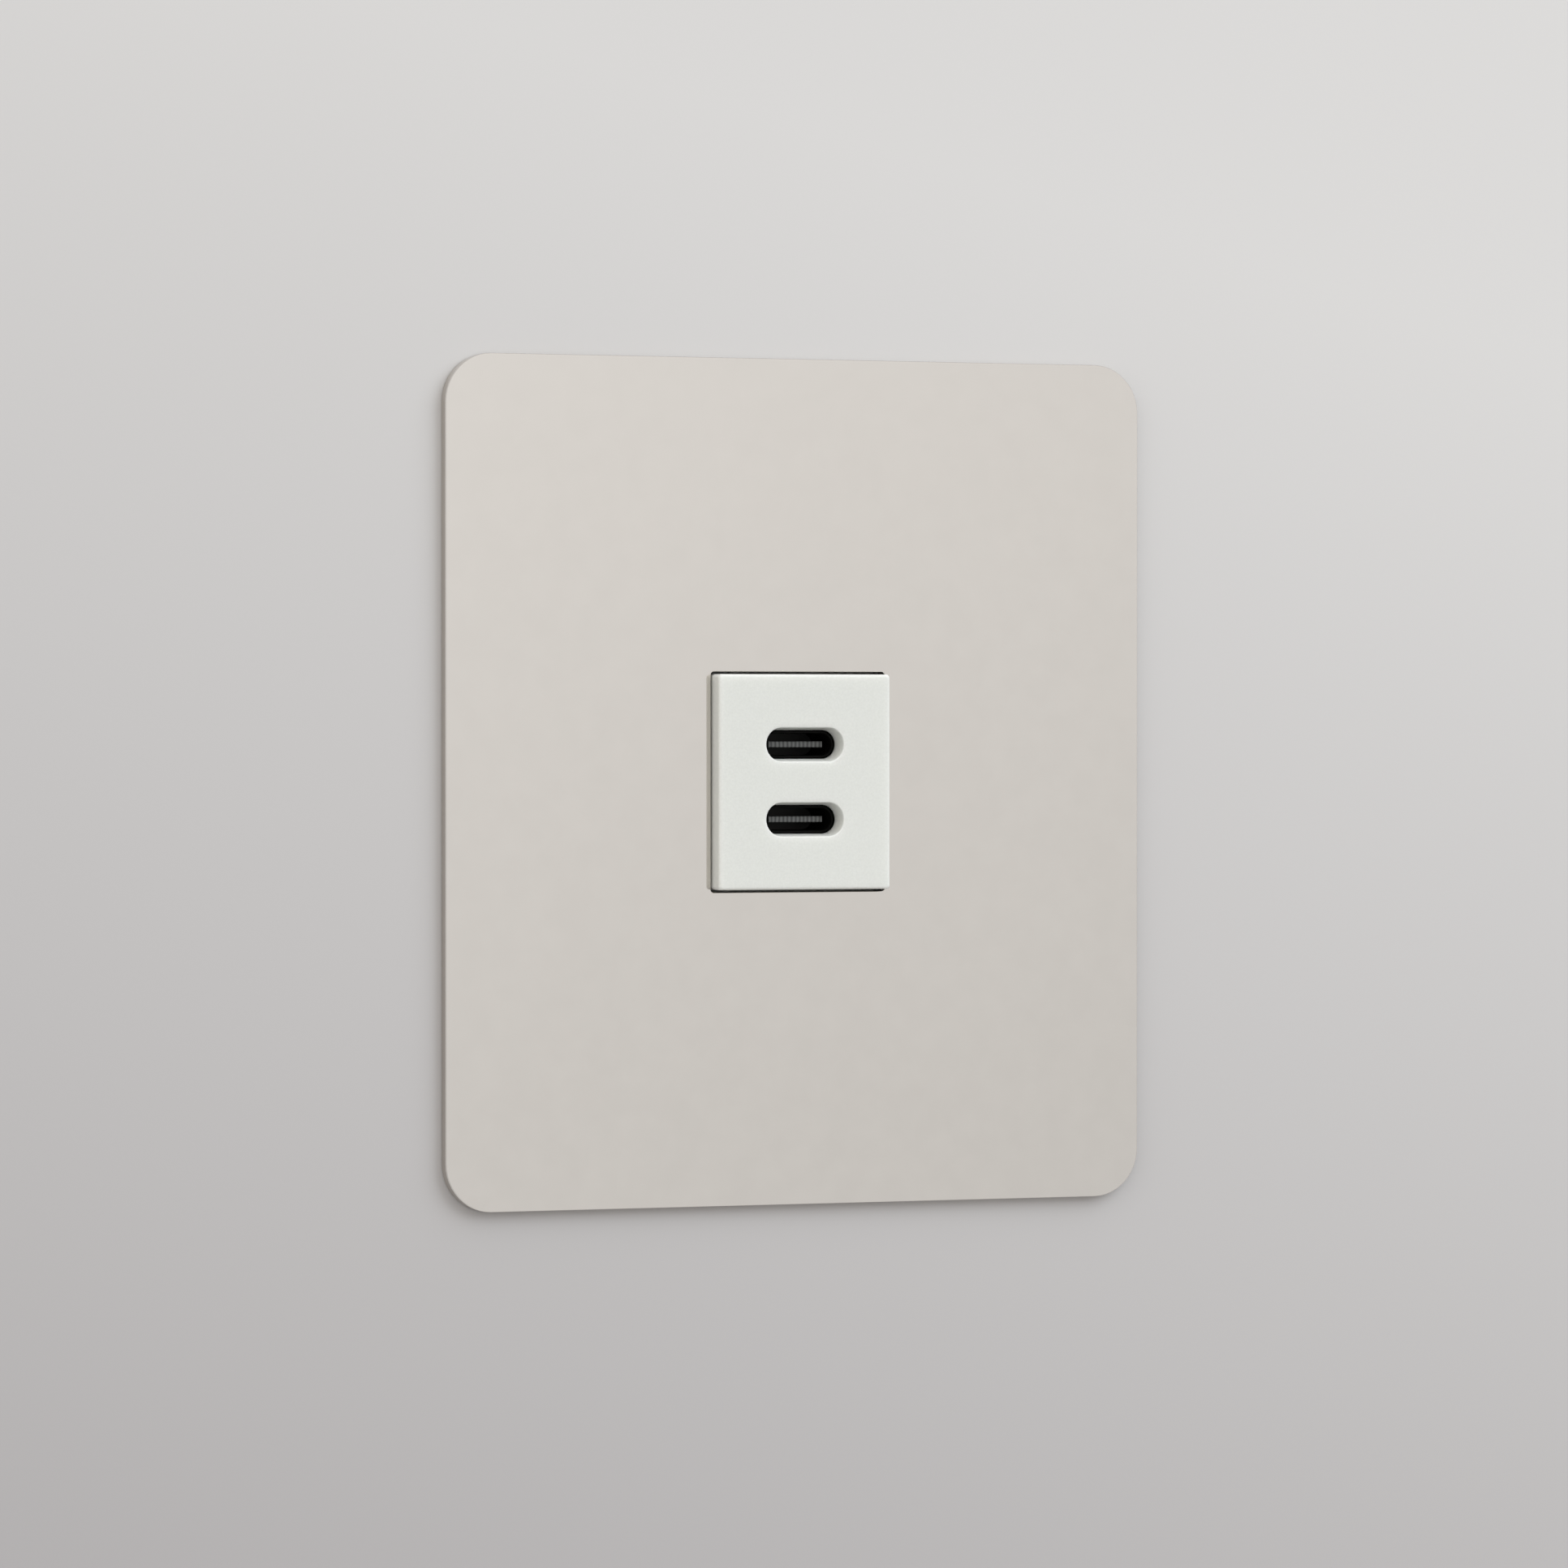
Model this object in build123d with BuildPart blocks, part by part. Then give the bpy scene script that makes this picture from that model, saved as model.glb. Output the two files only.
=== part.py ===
"""USB wall socket: a flat clip-on plate over a framed bezel with two USB-C receptacles.

Millimetres. X runs to the right as seen from the room, Z is up and Y runs into the wall.
The wall surface is the plane Y = 0, and the origin is the middle of the plate on that plane.
"""

import os

from build123d import *

os.makedirs("parts", exist_ok=True)

# Front plate
plate_width = 86.0
plate_height = 96.0
plate_thickness = 1.2
plate_corner_radius = 5.5
plate_edge_radius = 0.15
aperture_edge_radius = 0.08

# White bezel that shows through the plate
bezel_width = 21.2
bezel_height = 24.4
bezel_proud = 2.0
bezel_corner_radius = 0.4
bezel_edge_radius = 0.3
bezel_side_gap = 0.2
bezel_end_gap = 0.3
bezel_face_wall = 2.0
bezel_neck_wall = 1.6
bezel_flange_lip = 1.5
bezel_flange_thickness = 1.0
bezel_seat_clearance = 0.1

# Socket slots in the bezel, each narrowing to its receptacle
slot_throat_gap = 0.05
slot_flare = 0.3
slot_edge_radius = 0.1
slot_pitch = 8.5

# Receptacles behind the slots
shell_width = 8.94
shell_height = 3.16
shell_wall = 0.3
shell_lip_radius = 0.1
shell_length = 8.2
shell_setback = 0.1
leg_width = 1.0
leg_spacing = 5.2
leg_stickout = 0.8
leg_clearance = 0.15
core_base_length = 2.8
core_clearance = 0.05
tongue_width = 6.69
tongue_thickness = 0.7
tongue_setback = 0.65
tongue_tip_radius = 0.12
contact_count = 12
contact_pitch = 0.5
contact_width = 0.25
contact_thickness = 0.08
contact_setback = 0.5

# Mounting frame, pressed from sheet
frame_standoff = 1.2
sheet = 1.2
frame_corner_radius = 2.0
frame_aperture_gap = 0.4
bend_relief = 1.0
fixing_centres = 60.3
fixing_slot_width = 4.2
fixing_slot_travel = 2.4
ear_setback = 1.6
ear_width = 14.0
ear_slit = 0.8
ear_root_gap = 1.4
ear_joggle_run = 2.0
ear_end = 4.4
ear_corner_radius = 3.0
lug_width = 24.0
lug_length = 12.0
lug_window_width = 9.0
lug_window_length = 3.2
lug_window_start = 6.0
lug_clearance = 0.3

# Fixing screws
fixing_screw_diameter = 3.5
fixing_screw_length = 25.0
fixing_neck_diameter = 3.0
fixing_neck_margin = 0.6
fixing_head_diameter = 6.6
fixing_head_height = 2.0
screw_slot_width = 0.8
screw_slot_depth = 0.9

# Plate studs and the clips that grip them
stud_diameter = 3.0
stud_length = 7.0
stud_tip_radius = 0.6
clip_bore_clearance = 0.1
clip_flange_diameter = 8.0
clip_flange_thickness = 0.8
clip_body_diameter = 5.0
clip_barb_diameter = 5.8
clip_length = 7.2
clip_hole_clearance = 0.1
clip_slit = 0.8
clip_room = 2.0
clip_inset = 5.5

# Earth tab, screw and washer
earth_tab_width = 9.0
earth_tab_length = 12.6
earth_tab_overlap = 1.0
earth_screw_back = 8.6
earth_screw_diameter = 3.5
earth_screw_length = 7.0
earth_head_diameter = 6.4
earth_head_height = 2.2
earth_collar_wall = 1.0
earth_collar_height = 1.2
earth_washer_side = 7.2
earth_washer_thickness = 1.0
earth_open_gap = 2.2
thread_clearance = 0.06

# Rear case and its cover
cover_thickness = 1.8
case_width = 44.0
case_height = 48.0
case_wall = 1.6
case_rear_wall = 1.8
case_corner_radius = 2.5
case_edge_radius = 0.8
hook_width = 6.0
hook_thickness = 1.2
hook_length = 6.5
hook_barb = 1.0
hook_barb_length = 2.0
hook_spacing = 24.0
hook_gap = 0.15
hook_window_gap = 0.3
ramp_width = 8.0
ramp_height = 0.8
ramp_length = 2.6
ramp_gap = 0.15

# Boards and their screws
power_board_thickness = 1.6
board_gap = 0.4
socket_board_thickness = 1.2
socket_board_margin = 2.5
socket_post_diameter = 4.0
socket_post_spacing = 19.0
power_post_diameter = 4.0
power_post_inset = 2.0
board_screw_diameter = 1.8
board_screw_length = 5.0
board_head_diameter = 3.0
board_head_height = 1.1
board_hole_clearance = 0.2
pilot_clearance = 0.05
pilot_depth_margin = 0.4

# Terminals: a rising cage drawn up to a bus strip by a captive screw
terminal_pitch = 12.0
terminal_screw_diameter = 3.0
terminal_screw_length = 6.2
terminal_head_diameter = 5.0
terminal_head_height = 2.0
terminal_head_gap = 0.3
terminal_tip_gap = 0.1
access_diameter = 4.2
access_recess_margin = 1.2
access_recess_depth = 0.5
cage_inner_width = 4.2
cage_side_wall = 0.9
cage_nut_wall = 1.6
cage_floor_wall = 1.0
cage_height = 5.6
cage_nut_gap = 0.6
cage_wire_gap = 3.2
cage_side_gap = 0.3
cage_foot_gap = 0.6
cage_top_gap = 2.0
bus_width = 3.4
bus_thickness = 0.8
bus_end_gap = 0.4
partition_wall = 1.2
partition_front_gap = 0.6
wire_entry_diameter = 4.0
wire_entry_flare = 0.5

# Parts on the boards
part_gap = 0.8
stack_gap = 1.6
post_zone = 4.2
transformer_width = 14.0
transformer_length = 16.0
transformer_height = 9.6
core_leg = 2.6
core_middle_leg = 4.0
core_yoke = 2.4
core_depth = 5.0
bobbin_wall = 0.6
bobbin_foot = 1.2
winding_clearance = 0.15
input_capacitor_diameter = 8.0
input_capacitor_height = 9.4
output_capacitor_diameter = 5.0
output_capacitor_height = 7.0
capacitor_edge_radius = 0.5
capacitor_groove_depth = 0.3
capacitor_groove_height = 1.6
film_width = 6.0
film_length = 13.0
film_height = 9.0
film_edge_radius = 0.6
choke_diameter = 9.0
choke_bore = 4.4
choke_thickness = 5.0
choke_wire = 0.7
choke_turns = 7
fuse_diameter = 7.0
fuse_height = 8.0
fuse_edge_radius = 0.6
bridge_width = 6.5
bridge_length = 5.0
bridge_height = 1.8
controller_width = 6.0
controller_length = 4.9
controller_height = 1.6
port_chip_width = 4.0
port_chip_height = 0.9
chip_edge = 0.25
header_pins = 4
header_pitch = 2.54
header_pin_width = 0.64
header_pin_clearance = 0.12
header_stickout = 0.8

# Depths from the wall surface, front to back
bezel_face = -plate_thickness - bezel_proud
panel_front = frame_standoff
panel_back = panel_front + sheet
ear_front = panel_front + ear_setback
ear_back = ear_front + sheet
clip_front = panel_front - clip_flange_thickness
lug_back = panel_back + lug_length
case_front = panel_back + cover_thickness
shell_front = bezel_face + bezel_face_wall + shell_setback
socket_board_front = shell_front + shell_length
socket_board_back = socket_board_front + socket_board_thickness
tallest_part = max(transformer_height, input_capacitor_height, film_height, fuse_height)
power_board_front = socket_board_back + stack_gap + tallest_part
power_board_back = power_board_front + power_board_thickness
terminal_tip = power_board_front + terminal_tip_gap
terminal_head_front = terminal_tip + terminal_screw_length
terminal_head_back = terminal_head_front + terminal_head_height
case_inner_back = terminal_head_back + terminal_head_gap
case_back = case_inner_back + case_rear_wall
cage_floor_back = power_board_front - bus_thickness - cage_wire_gap
cage_front = cage_floor_back - cage_floor_wall
cage_nut_front = power_board_front + cage_nut_gap
cage_back = cage_nut_front + cage_nut_wall
wire_entry_depth = cage_floor_back + cage_wire_gap / 2
earth_depth = panel_back + earth_screw_back
hook_tip = case_front + hook_length
ramp_back = panel_back + lug_window_start + lug_window_length - ramp_gap

# Places across and up the wall
inner_half_width = case_width / 2 - case_wall
inner_half_height = case_height / 2 - case_wall
lug_inside = case_height / 2 + lug_clearance
panel_height = 2 * (lug_inside + sheet)
clip_x = case_width / 2 + clip_room + clip_body_diameter / 2
clip_z = panel_height / 2 - clip_inset
panel_width = 2 * (clip_x + clip_inset)
ear_root = case_width / 2 + ear_root_gap
ear_tip = fixing_centres / 2 + ear_end
earth_x = -case_width / 2 - earth_tab_width / 2 + earth_tab_overlap
hook_face = inner_half_width - hook_gap
cage_outer_width = cage_inner_width + 2 * cage_side_wall
cage_bottom = -inner_half_height + cage_foot_gap
cage_top = cage_bottom + cage_height
cage_middle = (cage_bottom + cage_top) / 2
partition_offset = cage_outer_width / 2 + cage_side_gap + partition_wall / 2
board_bottom = cage_top + cage_top_gap
board_top = inner_half_height - board_gap
board_half_width = inner_half_width - board_gap
bus_bottom = cage_bottom + bus_end_gap
bezel_flange_width = bezel_width + 2 * bezel_flange_lip
bezel_flange_height = bezel_height + 2 * bezel_flange_lip
bezel_seat = panel_back + bezel_flange_thickness
socket_post_x = bezel_flange_width / 2 + bezel_seat_clearance + socket_post_diameter / 2
sides = (-1, 1)
socket_posts = [(sx * socket_post_x, sz * socket_post_spacing / 2) for sx in sides for sz in sides]
power_post_x = board_half_width - power_post_inset
power_post_heights = (board_bottom + power_post_inset, board_top - power_post_inset)
power_posts = [(sx * power_post_x, z) for sx in sides for z in power_post_heights]
clip_places = {
    "upper_left": (-clip_x, clip_z),
    "upper_right": (clip_x, clip_z),
    "lower_left": (-clip_x, -clip_z),
    "lower_right": (clip_x, -clip_z),
}
receptacles = {"upper": slot_pitch / 2, "lower": -slot_pitch / 2}
slot_throat_width = shell_width + 2 * slot_throat_gap
slot_throat_height = shell_height + 2 * slot_throat_gap
slot_mouth_width = slot_throat_width + 2 * slot_flare
slot_mouth_height = slot_throat_height + 2 * slot_flare
terminals = {"live": -terminal_pitch / 2, "neutral": terminal_pitch / 2}

# Places of the parts on the power board, with the header just under the lower receptacle
header_z = -(slot_pitch + shell_height + header_pitch) / 2 - part_gap
bus_top = header_z - header_pitch / 2 - part_gap
header_places = [((i - (header_pins - 1) / 2) * header_pitch, header_z) for i in range(header_pins)]
output_capacitor_z = header_z + header_pitch / 2 + part_gap + output_capacitor_diameter / 2
input_capacitor_z = (
    output_capacitor_z + output_capacitor_diameter / 2 + part_gap + input_capacitor_diameter / 2
)
choke_outer = choke_diameter / 2 + choke_wire
choke_x = -board_half_width + part_gap + choke_outer
choke_z = board_bottom + post_zone + choke_outer
choke_middle = power_board_front - choke_wire - choke_thickness / 2
transformer_x = -board_half_width + post_zone + transformer_width / 2
transformer_z = choke_z + choke_outer + part_gap + transformer_length / 2
input_capacitor_x = transformer_x + transformer_width / 2 + part_gap + input_capacitor_diameter / 2
film_x = input_capacitor_x + input_capacitor_diameter / 2 + part_gap + film_width / 2
fuse_x = board_half_width - part_gap - fuse_diameter / 2
fuse_z = board_bottom + post_zone + fuse_diameter / 2
film_z = fuse_z + fuse_diameter / 2 + part_gap + film_length / 2


def at_depth(y):
    """Sketch plane at depth y, seen from the room: extruding by a plus amount comes forward."""
    return Plane.XZ.offset(-y)


def at_height(z):
    """Level sketch plane at height z."""
    return Plane.XY.offset(z)


def save(piece, name):
    """Label a finished piece and write it as its own node."""
    piece.part.label = name
    export_step(piece.part, f"parts/{name}.step")


# Front plate: flat sheet with a rectangular aperture for the bezel
with BuildPart() as front_plate:
    with BuildSketch(at_depth(0)):
        RectangleRounded(plate_width, plate_height, plate_corner_radius)
        RectangleRounded(
            bezel_width + 2 * bezel_side_gap,
            bezel_height + 2 * bezel_end_gap,
            bezel_corner_radius,
            mode=Mode.SUBTRACT,
        )
    extrude(amount=plate_thickness)
    plate_face = front_plate.faces().sort_by(Axis.Y)[0]
    fillet(plate_face.outer_wire().edges(), plate_edge_radius)
    plate_face = front_plate.faces().sort_by(Axis.Y)[0]
    fillet(plate_face.inner_wires()[0].edges(), aperture_edge_radius)
save(front_plate, "front_plate")

# Plate studs: four pins welded to the back of the plate
with BuildPart() as plate_studs:
    with BuildSketch(at_depth(0)):
        with Locations(*clip_places.values()):
            Circle(stud_diameter / 2)
    extrude(amount=-stud_length)
    fillet(plate_studs.faces().group_by(Axis.Y)[-1].edges(), stud_tip_radius)
save(plate_studs, "plate_studs")

# Stud clips: split bushes snapped into the frame from the front
clip_bore = stud_diameter / 2 + clip_bore_clearance
for place, (x, z) in clip_places.items():
    with BuildPart() as stud_clip:
        with BuildSketch(Plane(origin=(x, 0, z), x_dir=(1, 0, 0), z_dir=(0, 0, 1))):
            with BuildLine():
                Polyline(
                    (clip_bore, clip_front),
                    (clip_flange_diameter / 2, clip_front),
                    (clip_flange_diameter / 2, panel_front),
                    (clip_body_diameter / 2, panel_front),
                    (clip_body_diameter / 2, panel_back),
                    (clip_barb_diameter / 2, panel_back),
                    (clip_body_diameter / 2, clip_front + clip_length),
                    (clip_bore, clip_front + clip_length),
                    close=True,
                )
            make_face()
        revolve(axis=Axis((x, 0, z), (0, 1, 0)))
        with BuildSketch(at_depth(panel_back)):
            with Locations((x, z)):
                Rectangle(clip_slit, clip_barb_diameter)
                Rectangle(clip_barb_diameter, clip_slit)
        extrude(amount=-clip_length, mode=Mode.SUBTRACT)
    save(stud_clip, f"stud_clip_{place}")

# Mounting frame: pressed panel with set-back ears, folded lugs and an earth tab
with BuildPart() as mounting_frame:
    with BuildSketch(at_depth(panel_back)):
        RectangleRounded(panel_width, panel_height, frame_corner_radius)
        Rectangle(
            bezel_width + 2 * frame_aperture_gap,
            bezel_height + 2 * frame_aperture_gap,
            mode=Mode.SUBTRACT,
        )
        with Locations(*clip_places.values()):
            Circle(clip_body_diameter / 2 + clip_hole_clearance, mode=Mode.SUBTRACT)
        with Locations((-ear_root - ear_tip, 0), (ear_root + ear_tip, 0)):
            Rectangle(2 * ear_tip, ear_width + 2 * ear_slit, mode=Mode.SUBTRACT)
        # Relief cuts beside each fold
        lug_edge = lug_width / 2 + bend_relief / 2
        tab_edges = [earth_x + s * (earth_tab_width + bend_relief) / 2 for s in sides]
        with Locations(
            *[(sx * lug_edge, sz * panel_height / 2) for sx in sides for sz in sides],
            *[(edge, -panel_height / 2) for edge in tab_edges],
        ):
            Rectangle(bend_relief, 4 * sheet, mode=Mode.SUBTRACT)
    extrude(amount=sheet)
    # Ears joggled back so that the screw heads sit under the plate
    for side in sides:
        with BuildSketch(at_height(0)):
            with BuildLine():
                Polyline(
                    (side * (ear_root - ear_joggle_run), panel_front),
                    (side * ear_root, panel_front),
                    (side * (ear_root + ear_joggle_run), ear_front),
                    (side * ear_tip, ear_front),
                    (side * ear_tip, ear_back),
                    (side * (ear_root + ear_joggle_run), ear_back),
                    (side * ear_root, panel_back),
                    (side * (ear_root - ear_joggle_run), panel_back),
                    close=True,
                )
            make_face()
        extrude(amount=ear_width / 2, both=True)
    ear_edges = mounting_frame.edges().filter_by(Axis.Y)
    fillet(
        [edge for edge in ear_edges if abs(abs(edge.center().X) - ear_tip) < sheet / 10],
        ear_corner_radius,
    )
    with BuildSketch(at_depth(ear_back)):
        with Locations((-fixing_centres / 2, 0), (fixing_centres / 2, 0)):
            SlotCenterToCenter(fixing_slot_travel, fixing_slot_width, rotation=90)
    extrude(amount=sheet, mode=Mode.SUBTRACT)
    # Lugs folded back above and below the case, with windows for its ramps
    for level in (lug_inside, -lug_inside - sheet):
        with BuildSketch(at_height(level)):
            with Locations((0, (panel_front + lug_back) / 2)):
                Rectangle(lug_width, lug_back - panel_front)
            with Locations((0, panel_back + lug_window_start + lug_window_length / 2)):
                Rectangle(lug_window_width, lug_window_length, mode=Mode.SUBTRACT)
        extrude(amount=sheet)
    # Earth tab folded back at the lower left, with a raised collar for the thread
    tab_back = panel_back + earth_tab_length
    with BuildSketch(at_height(-panel_height / 2)):
        with Locations((earth_x, (panel_front + tab_back) / 2)):
            Rectangle(earth_tab_width, tab_back - panel_front)
    extrude(amount=sheet)
    with BuildSketch(at_height(-panel_height / 2)):
        with Locations((earth_x, earth_depth)):
            Circle(earth_screw_diameter / 2 + thread_clearance + earth_collar_wall)
    extrude(amount=sheet + earth_collar_height)
    with BuildSketch(at_height(-panel_height / 2)):
        with Locations((earth_x, earth_depth)):
            Circle(earth_screw_diameter / 2 + thread_clearance)
    extrude(amount=sheet + earth_collar_height, mode=Mode.SUBTRACT)
    # Outside radius of the three folds
    fold_edges = [
        edge
        for edge in mounting_frame.edges().filter_by(Axis.X)
        if abs(abs(edge.center().Z) - panel_height / 2) < sheet / 10
        and abs(edge.center().Y - panel_front) < sheet / 10
        and min(abs(edge.center().X), abs(edge.center().X - earth_x)) < bend_relief
    ]
    fillet(fold_edges, sheet)
save(mounting_frame, "mounting_frame")

# Fixing screws: slotted pan heads with a relieved neck inside the ear
with BuildPart() as fixing_screws:
    for side in sides:
        axis_x = side * fixing_centres / 2
        with BuildSketch(Plane(origin=(axis_x, 0, 0), x_dir=(1, 0, 0), z_dir=(0, 0, 1))):
            with BuildLine():
                Polyline(
                    (0, ear_front - fixing_head_height),
                    (fixing_head_diameter / 2, ear_front - fixing_head_height),
                    (fixing_head_diameter / 2, ear_front),
                    (fixing_neck_diameter / 2, ear_front),
                    (fixing_neck_diameter / 2, ear_back + fixing_neck_margin),
                    (fixing_screw_diameter / 2, ear_back + fixing_neck_margin),
                    (fixing_screw_diameter / 2, ear_front + fixing_screw_length),
                    (0, ear_front + fixing_screw_length),
                    close=True,
                )
            make_face()
        revolve(axis=Axis((axis_x, 0, 0), (0, 1, 0)))
    fillet(
        fixing_screws.faces().group_by(Axis.Y)[0].edges(),
        fixing_head_height / 3,
    )
    with BuildSketch(at_depth(ear_front - fixing_head_height + screw_slot_depth)):
        with Locations((-fixing_centres / 2, 0), (fixing_centres / 2, 0)):
            Rectangle(fixing_head_diameter, screw_slot_width)
    extrude(amount=screw_slot_depth, mode=Mode.SUBTRACT)
save(fixing_screws, "fixing_screws")

# Earth washer: a square clamp plate carried under the screw head
washer_top = -panel_height / 2 - earth_open_gap
washer_bottom = washer_top - earth_washer_thickness
with BuildPart() as earth_washer:
    with BuildSketch(at_height(washer_bottom)):
        with Locations((earth_x, earth_depth)):
            Rectangle(earth_washer_side, earth_washer_side)
            Circle(earth_screw_diameter / 2 + thread_clearance, mode=Mode.SUBTRACT)
    extrude(amount=earth_washer_thickness)
    chamfer(
        earth_washer.edges().filter_by(Axis.Z).group_by(SortBy.LENGTH)[0],
        earth_washer_thickness / 2,
    )
save(earth_washer, "earth_washer")

# Earth screw: driven upward from below through the tab
with BuildPart() as earth_screw:
    with BuildSketch(at_height(washer_bottom)):
        with Locations((earth_x, earth_depth)):
            Circle(earth_head_diameter / 2)
    extrude(amount=-earth_head_height)
    fillet(earth_screw.faces().sort_by(Axis.Z)[0].edges(), earth_head_height / 3)
    with BuildSketch(at_height(washer_bottom)):
        with Locations((earth_x, earth_depth)):
            Circle(earth_screw_diameter / 2)
    extrude(amount=earth_screw_length)
    with BuildSketch(at_height(washer_bottom - earth_head_height)):
        with Locations((earth_x, earth_depth)):
            Rectangle(earth_head_diameter, screw_slot_width)
    extrude(amount=screw_slot_depth, mode=Mode.SUBTRACT)
save(earth_screw, "earth_screw")

# Bezel: white neck with two socket slots and a flange held behind the frame
with BuildPart() as usb_bezel:
    with BuildSketch(at_depth(bezel_seat)):
        Rectangle(bezel_flange_width, bezel_flange_height)
    extrude(amount=bezel_flange_thickness)
    with BuildSketch(at_depth(panel_back)):
        RectangleRounded(bezel_width, bezel_height, bezel_corner_radius)
    extrude(amount=panel_back - bezel_face)
    fillet(usb_bezel.faces().sort_by(Axis.Y)[0].edges(), bezel_edge_radius)
    with BuildSketch(at_depth(bezel_seat)):
        Rectangle(bezel_width - 2 * bezel_neck_wall, bezel_height - 2 * bezel_neck_wall)
    extrude(amount=bezel_seat - bezel_face - bezel_face_wall, mode=Mode.SUBTRACT)
    # Slots that narrow from the face to the receptacles
    for z in receptacles.values():
        with BuildSketch(at_depth(bezel_face)):
            with Locations((0, z)):
                SlotOverall(slot_mouth_width, slot_mouth_height)
        with BuildSketch(at_depth(bezel_face + bezel_face_wall)):
            with Locations((0, z)):
                SlotOverall(slot_throat_width, slot_throat_height)
        loft(mode=Mode.SUBTRACT)
    slot_rims = usb_bezel.faces().sort_by(Axis.Y)[0].inner_wires()
    fillet([edge for rim in slot_rims for edge in rim.edges()], slot_edge_radius)
save(usb_bezel, "usb_bezel")

# Case cover: closes the case and seats the bezel's flange
with BuildPart() as case_cover:
    with BuildSketch(at_depth(case_front)):
        RectangleRounded(case_width, case_height, case_corner_radius)
        Rectangle(
            bezel_width - 2 * bezel_neck_wall,
            bezel_height - 2 * bezel_neck_wall,
            mode=Mode.SUBTRACT,
        )
    extrude(amount=cover_thickness)
    with BuildSketch(at_depth(bezel_seat)):
        Rectangle(
            bezel_flange_width + 2 * bezel_seat_clearance,
            bezel_flange_height + 2 * bezel_seat_clearance,
        )
    extrude(amount=bezel_flange_thickness, mode=Mode.SUBTRACT)
    # Posts for the socket board
    with BuildSketch(at_depth(case_front)):
        with Locations(*socket_posts):
            Circle(socket_post_diameter / 2)
    extrude(amount=case_front - socket_board_front)
    pilot_depth = board_screw_length - socket_board_thickness + pilot_depth_margin
    with BuildSketch(at_depth(socket_board_front)):
        with Locations(*socket_posts):
            Circle(board_screw_diameter / 2 + pilot_clearance)
    extrude(amount=pilot_depth, mode=Mode.SUBTRACT)
    # Snap hooks that spring into the windows of the case
    for side in sides:
        for hook_z in (-hook_spacing / 2, hook_spacing / 2):
            with BuildSketch(at_height(hook_z)):
                with BuildLine():
                    Polyline(
                        (side * (hook_face - hook_thickness), case_front),
                        (side * hook_face, case_front),
                        (side * hook_face, hook_tip - hook_barb_length),
                        (side * (hook_face + hook_barb), hook_tip - hook_barb_length),
                        (side * hook_face, hook_tip),
                        (side * (hook_face - hook_thickness), hook_tip),
                        close=True,
                    )
                make_face()
            extrude(amount=hook_width / 2, both=True)
save(case_cover, "case_cover")

# Receptacles: drawn shell, core with its tongue, and two rows of contacts moulded into it
tongue_tip = shell_front + tongue_setback
contact_back = socket_board_front - core_base_length
contact_length = contact_back - tongue_tip - contact_setback
contact_places = [
    ((i - (contact_count - 1) / 2) * contact_pitch, sz * (tongue_thickness - contact_thickness) / 2)
    for i in range(contact_count)
    for sz in sides
]
leg_offset = shell_height / 2 - shell_wall / 2
leg_places = [
    (sx * leg_spacing / 2, z + sz * leg_offset)
    for z in receptacles.values()
    for sx in sides
    for sz in sides
]
for place, z in receptacles.items():
    with BuildPart() as usb_shell:
        with BuildSketch(at_depth(socket_board_front)):
            with Locations((0, z)):
                SlotOverall(shell_width, shell_height)
                SlotOverall(
                    shell_width - 2 * shell_wall, shell_height - 2 * shell_wall, mode=Mode.SUBTRACT
                )
        extrude(amount=shell_length)
        fillet(usb_shell.faces().sort_by(Axis.Y)[0].edges(), shell_lip_radius)
        with BuildSketch(at_depth(socket_board_front)):
            with Locations(*[spot for spot in leg_places if abs(spot[1] - z) < slot_pitch / 2]):
                Rectangle(leg_width, shell_wall)
        extrude(amount=-socket_board_thickness - leg_stickout)
    save(usb_shell, f"usb_shell_{place}")

    with BuildPart() as usb_core:
        with BuildSketch(at_depth(socket_board_front)):
            with Locations((0, z)):
                SlotOverall(
                    shell_width - 2 * shell_wall - 2 * core_clearance,
                    shell_height - 2 * shell_wall - 2 * core_clearance,
                )
        extrude(amount=core_base_length)
        with BuildSketch(at_depth(socket_board_front)):
            with Locations((0, z)):
                Rectangle(tongue_width, tongue_thickness)
        extrude(amount=socket_board_front - tongue_tip)
        fillet(usb_core.faces().sort_by(Axis.Y)[0].edges(), tongue_tip_radius)
        with BuildSketch(at_depth(contact_back)):
            with Locations(*[(x, z + offset) for x, offset in contact_places]):
                Rectangle(contact_width, contact_thickness)
        extrude(amount=contact_length, mode=Mode.SUBTRACT)
    save(usb_core, f"usb_core_{place}")

    with BuildPart() as usb_contacts:
        with BuildSketch(at_depth(contact_back)):
            with Locations(*[(x, z + offset) for x, offset in contact_places]):
                Rectangle(contact_width, contact_thickness)
        extrude(amount=contact_length)
    save(usb_contacts, f"usb_contacts_{place}")

# Socket board behind the receptacles
with BuildPart() as socket_board:
    with BuildSketch(at_depth(socket_board_back)):
        Rectangle(
            2 * (socket_post_x + socket_board_margin),
            socket_post_spacing + 2 * socket_board_margin,
        )
        with Locations(*socket_posts):
            Circle(board_screw_diameter / 2 + board_hole_clearance, mode=Mode.SUBTRACT)
        with Locations(*leg_places):
            Rectangle(
                leg_width + 2 * leg_clearance, shell_wall + 2 * leg_clearance, mode=Mode.SUBTRACT
            )
        with Locations(*header_places):
            pin_hole = header_pin_width + 2 * header_pin_clearance
            Rectangle(pin_hole, pin_hole, mode=Mode.SUBTRACT)
    extrude(amount=socket_board_thickness)
save(socket_board, "socket_board")

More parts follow.
